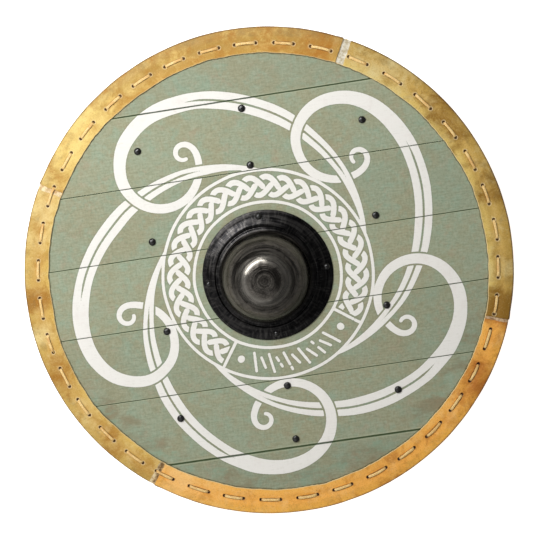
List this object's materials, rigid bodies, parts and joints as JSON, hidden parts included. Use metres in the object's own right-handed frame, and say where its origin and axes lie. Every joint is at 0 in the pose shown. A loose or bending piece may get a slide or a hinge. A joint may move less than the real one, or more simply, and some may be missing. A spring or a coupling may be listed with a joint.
{
  "type": "wooden round shield",
  "caption": "Round shield of painted planks with an iron boss over the hand grip and a laced leather rim, lying on its back.",
  "frame": {"origin": "on the surface under the handle and battens, below the middle of the shield", "axes": "+Z out of the shield's front, +X along the planks, +Y along the handle"},
  "size_m": [0.76, 0.76, 0.0963],
  "materials": {
    "painted_board": "sage green paint, worn, over planks, with off-white painted ornament",
    "rail_wood": "oiled bare wood",
    "gold_leather": "vegetable-tanned leather, golden, mottled",
    "orange_leather": "vegetable-tanned leather, orange tan",
    "olive_leather": "vegetable-tanned leather, olive tan, stained",
    "lace": "pale rawhide thong",
    "boss_iron": "blackened iron, rubbed bright on the dome",
    "nail_iron": "black forged iron"
  },
  "bodies": {
    "root": {"plank_1": "painted_board", "plank_2": "painted_board", "plank_3": "painted_board", "plank_4_left": "painted_board", "plank_4_right": "painted_board", "plank_5": "painted_board", "plank_6": "painted_board", "plank_7": "painted_board", "handle": "rail_wood", "batten_left": "rail_wood", "batten_right": "rail_wood", "rim_strip_1": "gold_leather", "rim_strip_2": "gold_leather", "rim_strip_3": "orange_leather", "rim_strip_4": "olive_leather", "lacing": "lace", "boss": "boss_iron", "boss_nail_1": "nail_iron", "boss_nail_2": "nail_iron", "boss_nail_3": "nail_iron", "boss_nail_4": "nail_iron", "face_nail_1": "nail_iron", "face_nail_2": "nail_iron", "face_nail_3": "nail_iron", "face_nail_4": "nail_iron", "face_nail_5": "nail_iron", "face_nail_6": "nail_iron", "face_nail_7": "nail_iron", "face_nail_8": "nail_iron", "face_nail_9": "nail_iron", "face_nail_10": "nail_iron", "face_nail_11": "nail_iron", "face_nail_12": "nail_iron"}
  },
  "joints": []
}
